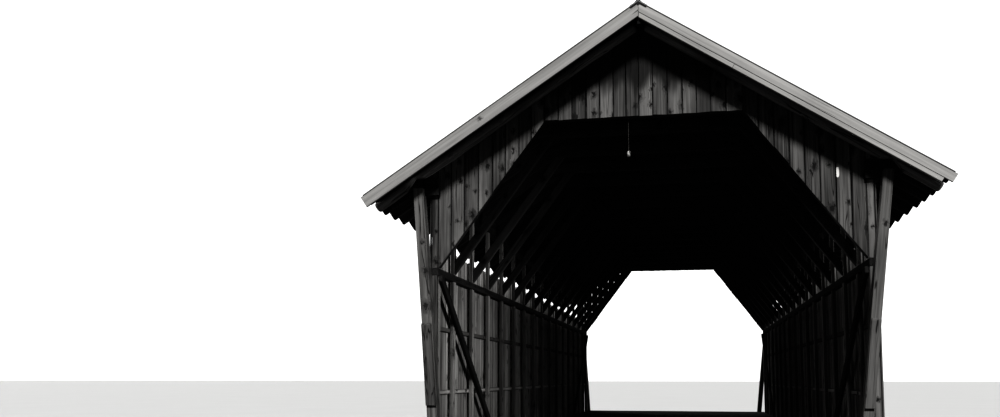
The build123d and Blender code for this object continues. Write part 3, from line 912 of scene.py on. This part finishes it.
def roof_boards(hand, out):
    """The boards laid along the rafters, in lengths that butt end to end."""
    settings = bpy.context.scene.bridge_boards
    name = "roof_boards_" + hand
    rng = random.Random(name)
    whole = new_wood()
    lo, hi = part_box(name)
    reach = max(abs(lo.x), abs(hi.x)) / ROOF_COS
    up, down = slope_axes(out)
    axes = Matrix((down * -out, up, ALONG_ROAD)).transposed()
    rows = board_edges(ROOF_FIRST, reach - ROOF_LAST, ROOF_BOARD_WIDTH, ROOF_BOARD_SPREAD, rng)
    for a, b in zip(rows, rows[1:]):
        joints = [-hi.y, *sorted(rng.uniform(-1, 1) * hi.y * 0.7 for _ in range(2)), hi.y]
        for y0, y1 in zip(joints, joints[1:]):
            if y1 - y0 < SHORTEST_BOARD:
                continue
            width = b - a - settings.board_gap * rng.uniform(0.3, 1.5)
            bm = sawn_board(width, ROOF_BOARD_THICKNESS - ROOF_BOARD_PLAY, y1 - y0 - BUTT_GAP, rng, loops=4)
            place = down * (a + b) / 2 + up * ROOF_BOARD_THICKNESS / 2 + Vector((0, y0, ROOF_PEAK))
            lay(whole, bm, place, axes, rng)
    finish_piece(name + "_laid", whole, "roof_board", [name])


# Deck

PLANK_SPREAD = 0.012
PLANK_SHORT = 0.02
PLANK_PLAY = 0.003
PLANK_RAGGED = 0.004
PLANK_EDGE = 0.005


def deck_planks():
    """The cross planks of the floor."""
    rng = random.Random("deck")
    whole = new_wood()
    lo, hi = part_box("deck")
    edges = board_edges(lo.y, hi.y, bpy.context.scene.bridge_boards.plank_width, PLANK_SPREAD, rng)
    for y0, y1 in zip(edges, edges[1:]):
        width = y1 - y0 - rng.uniform(0.004, 0.011)
        ends = [rng.uniform(0, PLANK_SHORT), rng.uniform(0, PLANK_SHORT)]
        run = hi.x - lo.x - sum(ends)
        thickness = hi.z - lo.z - PLANK_PLAY
        bm = sawn_board(width, thickness, run, rng, loops=4, ragged=PLANK_RAGGED, edge=PLANK_EDGE)
        lay(whole, bm, Vector((lo.x + ends[0], (y0 + y1) / 2, (lo.z + hi.z) / 2)), CROSSWAYS, rng)
    finish_piece("deck_planks", whole, "deck", ["deck"])


# Overhang: backings of the rake boards, ends of the ridge cap, fly rafters and poles

STEP_GAP = 0.003
STEP_BACK = 0.006
BACKING_JOINT = 1.02
BACKING_EDGE = 0.0015
CAP_LIFT = 0.012
CAP_FOLD = 0.027
CAP_FOLD_REACH = 0.105
CAP_KNOT = 0.052
CAP_PLAY = 0.001
POLE_FACES = 16
POLE_END = 0.06
POLE_FLAT = 0.15
POLE_SLIM = 0.96
POLE_PLAY = 0.0005


def gable_pole(solid, rng):
    """A peeled pole from a plain one: knobbly, with rounded ends."""
    lowest = min(solid.verts, key=lambda v: v.co.z).co
    highest = max(solid.verts, key=lambda v: v.co.z).co
    along = (highest - lowest).normalized()
    places = [v.co.dot(along) for v in solid.verts]
    ends = []
    for target in (min(places), max(places)):
        ring = [v.co for v, s in zip(solid.verts, places) if abs(s - target) < POLE_END]
        centre = sum(ring, Vector()) / len(ring)
        ends.append((centre, max((c - centre).length for c in ring)))
    solid.free()
    (bottom, wide), (top, narrow) = ends
    height = (top - bottom).length
    along = (top - bottom).normalized()
    axes = Matrix((ALONG_ROAD, along.cross(ALONG_ROAD).normalized(), along)).transposed()
    bm = new_wood()
    radii = {"radius1": wide * POLE_SLIM, "radius2": narrow * POLE_SLIM}
    bmesh.ops.create_cone(bm, cap_ends=True, segments=18, depth=height, **radii)
    slice_upright(bm, height, 26)
    caps = [e for e in bm.edges if all(abs(abs(v.co.z) - height / 2) < MERGE for v in e.verts)]
    bevel(bm, caps, narrow * 0.5, segments=3)
    seed = rng.uniform(0, GRAIN_SPREAD)
    for v in bm.verts:
        swell = noise.noise(Vector((v.co.x * 9 + seed, v.co.y * 9, v.co.z * 2.5)))
        knob = max(0.0, noise.noise(Vector((v.co.x * 20, seed + v.co.y * 20, v.co.z * 6))) - 0.35)
        sway = noise.noise(Vector((seed, 5, v.co.z * 0.8))) * 0.004
        factor = 1 + swell * 0.14 + knob * 0.3 - 0.07
        v.co.x = v.co.x * factor + sway
        v.co.y = v.co.y * factor
    bm.transform(Matrix.Translation((top + bottom) / 2) @ turn_to(along))
    for v in bm.verts:
        if PLATE_INNER - POLE_FLAT < abs(v.co.x) < PLATE_OUTER + POLE_FLAT:
            v.co.z = max(v.co.z, PLATE_TOP + POLE_PLAY)
    mark_grain(bm, axes, rng, 0.5)
    return bm


def overhang(end):
    """The fly rafters and the peeled poles under one overhang."""
    name = "overhang_rafters_" + end
    rng = random.Random(name)
    flies, poles = new_wood(), new_wood()
    for solid in solids_of(name):
        if len(solid.faces) > POLE_FACES:
            join(poles, gable_pole(solid, rng))
        else:
            join(flies, worn_timber(solid, rng))
    finish_piece(name + "_fly", flies, "frame", [name])
    finish_piece(name + "_poles", poles, "pole", [name])


def rake_backings():
    """The strips behind the right rake boards: a rebated board each, in two lengths that butt."""
    rng = random.Random("rake_backings")
    whole = new_wood()
    up, down = slope_axes(1)
    axes = Matrix((up, ALONG_ROAD, down)).transposed()
    joint = Vector((BACKING_JOINT, 0, ROOF_PEAK - ROOF_RISE * BACKING_JOINT))
    for solid in solids_of("rake_backings"):
        side = math.copysign(1, sum(v.co.y for v in solid.verts))
        face = max(abs(v.co.y) for v in solid.verts)
        split(solid, up * RAKE_FOOT, up)
        split(solid, up * (RAKE_FOOT - STEP_GAP), up)
        for v in solid.verts:
            if abs(v.co.y) > face - MERGE and v.co.dot(up) < RAKE_FOOT - STEP_GAP + MERGE:
                v.co.y = side * (RAKE_FACE - STEP_BACK)
            if v.co.x < HALF_RIDGE + MERGE:
                v.co.z += (v.co.x - STEP_GAP) * ROOF_RISE
                v.co.x = STEP_GAP
        other = solid.copy()
        saw_off(solid, joint - down * BACKING_EDGE, down)
        saw_off(other, joint + down * BACKING_EDGE, -down)
        for part in (solid, other):
            bevel_sharp(part, BACKING_EDGE)
            mark_grain(part, axes, rng, 0.6)
            join(whole, part)
    finish_piece("rake_backings_worn", whole, "rake", ["rake_backings"])


def cap_ends():
    """The folded ends of the ridge cap, which lap down over the rake boards' joints, near black as painted
    shade under the cap.
    """
    bm = bmesh.new()
    thickness = CAD_BOX[1].y - RAKE_FACE - 2 * CAP_PLAY
    middle = CAP_FOLD_REACH / 2 * ROOF_COS
    height = high("rake_boards_far").z + CAP_LIFT - CAP_FOLD / 2 / ROOF_COS - middle * ROOF_RISE
    knot_height = CAD_BOX[1].z - CAP_PLAY - CAP_KNOT * math.sqrt(0.5)
    for side in (-1, 1):
        y = side * (RAKE_FACE + CAP_PLAY + thickness / 2)
        for out in (-1, 1):
            add_block(bm, (CAP_FOLD_REACH, thickness, CAP_FOLD), (out * middle, y, height), out * ROOF_PITCH)
        # A near-black block at the apex, standing for the shade in the hollow under the cap.
        add_block(bm, (CAP_KNOT, thickness + CAP_PLAY, CAP_KNOT), (0, y, knot_height), math.pi / 4)
    bevel_sharp(bm, CAP_PLAY)
    finish_piece("ridge_cap_ends", bm, "cap_end")


# Hanging wire and weight

WIRE_DROPS = (0.0, 0.06, 0.13, 0.2, 0.27)
WIRE_TAIL = 0.04
WEIGHT_NECK = 0.55
WEIGHT_SWELL = 0.8


def turned_weight():
    """The small turned weight on the wire's end."""
    lo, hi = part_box("wire_weight")
    height, radius = hi.z - lo.z, (hi.x - lo.x) / 2 * WEIGHT_NECK
    bm = bmesh.new()
    bmesh.ops.create_cone(bm, cap_ends=True, segments=24, radius1=radius, radius2=radius, depth=height)
    slice_upright(bm, height, 9)
    for v in bm.verts:
        share = v.co.z / height
        swell = 1 + WEIGHT_SWELL * math.cos(math.pi * share) ** 0.7 if abs(share) < 0.5 else 1
        v.co.x *= swell
        v.co.y *= swell
    bmesh.ops.recalc_face_normals(bm, faces=bm.faces)
    bmesh.ops.translate(bm, vec=(lo + hi) / 2, verts=bm.verts)
    piece = finish_piece("wire_weight_turned", bm, "turned", ["wire_weight"])
    for polygon in piece.data.polygons:
        polygon.use_smooth = True
    return piece


# Stage

IMAGE_WIDTH = 1000
SENSOR_WIDTH = 36
FAR_AWAY = 500
KEY_FROM = Vector((0.06, -1.0, 0.72))
KEY_ANGLE = math.radians(10)
BACK_FROM = Vector((-0.4, 0.7, 1.0))
BACK_ANGLE = math.radians(30)
SIDE_RISE = 0.04
SIDE_ANGLE = math.radians(6)
INNER_PLACE = Vector((1.6, -7.9, 2.9))
INNER_TARGET = Vector((-2.3, -5.7, 2.15))
INNER_SIZE = 0.9
INNER_SPREAD = math.radians(75)
FLOOR_RADIUS = 3000
WHITE = (1, 1, 1, 1)


def camera(stage):
    """Stands the camera where the photograph was taken."""
    data = bpy.data.cameras.new("Camera")
    data.sensor_width = SENSOR_WIDTH
    data.lens = stage.focal_pixels * SENSOR_WIDTH / IMAGE_WIDTH
    data.shift_y = stage.shift
    data.clip_end = FAR_AWAY
    made = new_object("Camera", data)
    turn = Matrix.Rotation(stage.yaw, 4, "Z")
    turn = turn @ Matrix.Rotation(math.pi / 2 + stage.pitch, 4, "X")
    turn = turn @ Matrix.Rotation(stage.roll, 4, "Z")
    made.matrix_world = Matrix.Translation(stage.place) @ turn
    bpy.context.scene.camera = made


def backdrop(stage):
    """A plain bright backdrop, with a softer light from all round."""
    world = bpy.data.worlds.new("Studio")
    world.use_nodes = True
    tree = world.node_tree
    tree.nodes.clear()
    seen = field(tree, "ShaderNodeBackground", {"Color": WHITE, "Strength": stage.backdrop})
    light = field(tree, "ShaderNodeBackground", {"Color": WHITE, "Strength": stage.sky_strength})
    path = field(tree, "ShaderNodeLightPath", output="Is Camera Ray")
    both = field(tree, "ShaderNodeMixShader", {0: path, 1: light, 2: seen})
    node(tree, "ShaderNodeOutputWorld", {"Surface": both})
    bpy.context.scene.world = world


def soft_light(name, kind, strength, direction, **values):
    """A broad light that shines along a direction."""
    data = bpy.data.lights.new(name, kind)
    data.energy = strength
    for label, value in values.items():
        setattr(data, label, value)
    made = new_object(name, data)
    made.rotation_euler = direction.to_track_quat("-Z", "Y").to_euler()
    return made


def floor():
    """A plain floor out to the horizon."""
    bm = bmesh.new()
    bmesh.ops.create_circle(bm, cap_ends=True, radius=FLOOR_RADIUS, segments=256)
    made = mesh_object("floor", bm, "floor")


# Operators


class BRIDGE_OT_stage(bpy.types.Operator):
    """Set up the camera, the light, the backdrop and the floor"""

    bl_idname = "bridge.stage"
    bl_label = "Stage"

    def execute(self, context):
        stage = context.scene.bridge_stage
        camera(stage)
        backdrop(stage)
        soft_light("Key", "SUN", stage.key_strength, -KEY_FROM, angle=KEY_ANGLE)
        soft_light("Back", "SUN", stage.back_strength, -BACK_FROM, angle=BACK_ANGLE)
        for hand, out in HANDS.items():
            shine = Vector((-out, -SIDE_RISE, -SIDE_RISE))
            soft_light(hand.title(), "SUN", stage.side_strength, shine, angle=SIDE_ANGLE)
        opening = {"size": INNER_SIZE, "spread": INNER_SPREAD}
        inner = soft_light("Inner", "AREA", stage.inner_strength, INNER_TARGET - INNER_PLACE, **opening)
        inner.location = INNER_PLACE
        inner.visible_camera = False
        floor()
        context.scene.view_settings.view_transform = "Standard"
        context.scene.view_settings.look = "High Contrast"
        return {"FINISHED"}


class BRIDGE_OT_hanging_wire(bpy.types.Operator):
    """Hang the short wire and its turned weight from the near header"""

    bl_idname = "bridge.hanging_wire"
    bl_label = "Hanging wire"

    def execute(self, context):
        lo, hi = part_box("hanging_wire")
        x, y = (lo.x + hi.x) / 2, (lo.y + hi.y) / 2
        diameter = hi.x - lo.x
        curve = bpy.data.curves.new("hanging_wire_drop", "CURVE")
        curve.dimensions = "3D"
        curve.bevel_depth = diameter / 2
        curve.bevel_resolution = 3
        curve.use_fill_caps = True
        line = curve.splines.new("NURBS")
        heights = [*(hi.z - drop for drop in WIRE_DROPS), lo.z + WIRE_TAIL, lo.z]
        line.points.add(len(heights) - 1)
        for point, z in zip(line.points, heights):
            point.co = (x, y, z, 1)
        line.order_u = 3
        line.use_endpoint_u = True
        wire = new_object("hanging_wire_drop", curve, "iron")
        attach(wire, "root")
        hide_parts("hanging_wire")
        weight = turned_weight()
        return {"FINISHED"}


class BRIDGE_OT_gable_boards(bpy.types.Operator):
    """Board both gable walls round the opening"""

    bl_idname = "bridge.gable_boards"
    bl_label = "Gable boards"

    def execute(self, context):
        for end, side in ENDS.items():
            gable(end, side)
        return {"FINISHED"}


class BRIDGE_OT_side_boards(bpy.types.Operator):
    """Board and nail both side walls"""

    bl_idname = "bridge.side_boards"
    bl_label = "Side boards"

    def execute(self, context):
        for hand, out in HANDS.items():
            side_wall(hand, out)
        return {"FINISHED"}


class BRIDGE_OT_wall_frame(bpy.types.Operator):
    """Wear the posts, girts, rails, plates and wind braces"""

    bl_idname = "bridge.wall_frame"
    bl_label = "Wall frame"

    def execute(self, context):
        for hand in HANDS:
            worn_copy("posts_worn_" + hand, "posts_" + hand, "post")
            worn_copy("girt_worn_" + hand, "girt_" + hand)
            # Upper rails toned darker as painted shade, lower rails paler as painted light.
            worn_copy("rails_worn_" + hand, "rails_" + hand, "rail", edge=0.003, tone_at=shaded_high_lit_low)
            worn_copy("plate_worn_" + hand, "wall_plate_" + hand)
            worn_copy("wind_braces_worn_" + hand, "wind_braces_" + hand)
        return {"FINISHED"}


class BRIDGE_OT_roof_frame(bpy.types.Operator):
    """Wear the rafters, collars, knee braces and ridge board"""

    bl_idname = "bridge.roof_frame"
    bl_label = "Roof frame"

    def execute(self, context):
        for hand in HANDS:
            worn_copy("rafters_worn_" + hand, "rafters_" + hand)
            worn_copy("knee_braces_worn_" + hand, "knee_braces_" + hand)
        worn_copy("collars_worn", "collars")
        # The ridge board is toned darker as painted shade.
        worn_copy("ridge_board_worn", "ridge_board", edge=0.003, tone_at=shaded_high_lit_low)
        return {"FINISHED"}


class BRIDGE_OT_overhangs(bpy.types.Operator):
    """Make the rake boards, their backings, the fly rafters and the peeled poles"""

    bl_idname = "bridge.overhangs"
    bl_label = "Overhangs"

    def execute(self, context):
        for end in ENDS:
            worn_copy("rake_worn_" + end, "rake_boards_" + end, "rake", 0.002, 0.002)
            overhang(end)
        rake_backings()
        return {"FINISHED"}


class BRIDGE_OT_roof_boards(bpy.types.Operator):
    """Lay the roof boards on both slopes"""

    bl_idname = "bridge.roof_boards"
    bl_label = "Roof boards"

    def execute(self, context):
        for hand, out in HANDS.items():
            roof_boards(hand, out)
        return {"FINISHED"}


class BRIDGE_OT_roof_metal(bpy.types.Operator):
    """Finish the roof sheets and the ridge cap"""

    bl_idname = "bridge.roof_metal"
    bl_label = "Roof metal"

    def execute(self, context):
        for name in ("roof_sheet_left", "roof_sheet_right", "ridge_cap"):
            NODES[name].data.materials.clear()
            NODES[name].data.materials.append(MATERIALS["cap" if name == "ridge_cap" else "sheet"])
        cap_ends()
        return {"FINISHED"}


class BRIDGE_OT_corner_posts(bpy.types.Operator):
    """Wear the four leaning corner posts and their scab planks"""

    bl_idname = "bridge.corner_posts"
    bl_label = "Corner posts"

    def execute(self, context):
        for corner in ("near_left", "near_right", "far_left", "far_right"):
            worn_copy(corner + "_post_worn", corner + "_corner_post", "corner", 0.008)
            worn_copy(corner + "_scab_worn", corner + "_post_scab", "scab", 0.004, tone_at=scab_tone)
        return {"FINISHED"}


class BRIDGE_OT_deck(bpy.types.Operator):
    """Lay the deck planks"""

    bl_idname = "bridge.deck"
    bl_label = "Deck"

    def execute(self, context):
        deck_planks()
        return {"FINISHED"}


class BRIDGE_OT_bearings(bpy.types.Operator):
    """Wear the stringers and the bed timbers"""

    bl_idname = "bridge.bearings"
    bl_label = "Bearings"

    def execute(self, context):
        worn_copy("stringers_worn", "stringers", "heavy", 0.01)
        for end in ENDS:
            worn_copy("bed_timbers_worn_" + end, "bed_timbers_" + end, "heavy", 0.012)
        return {"FINISHED"}


class BRIDGE_PT_panel(bpy.types.Panel):
    """The bridge's steps, in the order in which they are made"""

    bl_idname = "BRIDGE_PT_panel"
    bl_label = "Covered bridge"
    bl_space_type = "VIEW_3D"
    bl_region_type = "UI"
    bl_category = "Bridge"

    def draw(self, context):
        for step in STEPS:
            self.layout.operator(step.bl_idname)


STEPS = (
    BRIDGE_OT_stage,
    BRIDGE_OT_hanging_wire,
    BRIDGE_OT_gable_boards,
    BRIDGE_OT_side_boards,
    BRIDGE_OT_wall_frame,
    BRIDGE_OT_roof_frame,
    BRIDGE_OT_overhangs,
    BRIDGE_OT_roof_boards,
    BRIDGE_OT_roof_metal,
    BRIDGE_OT_corner_posts,
    BRIDGE_OT_deck,
    BRIDGE_OT_bearings,
)
SETTINGS = {
    "bridge_boards": BoardSettings,
    "bridge_timbers": TimberSettings,
    "bridge_colours": ColourSettings,
    "bridge_stage": StageSettings,
}


def register():
    """Adds the settings, the steps and the panel."""
    for name, settings in SETTINGS.items():
        bpy.utils.register_class(settings)
        setattr(bpy.types.Scene, name, PointerProperty(type=settings))
    for step in (*STEPS, BRIDGE_PT_panel):
        bpy.utils.register_class(step)


def unregister():
    """Takes them away again."""
    for step in (BRIDGE_PT_panel, *reversed(STEPS)):
        bpy.utils.unregister_class(step)
    for name, settings in reversed(SETTINGS.items()):
        delattr(bpy.types.Scene, name)
        bpy.utils.unregister_class(settings)


def main():
    """Builds the whole bridge."""
    register()
    make_materials(bpy.context.scene.bridge_colours)
    for step in STEPS:
        space, verb = step.bl_idname.split(".")
        getattr(getattr(bpy.ops, space), verb)()


if __name__ == "__main__":
    main()
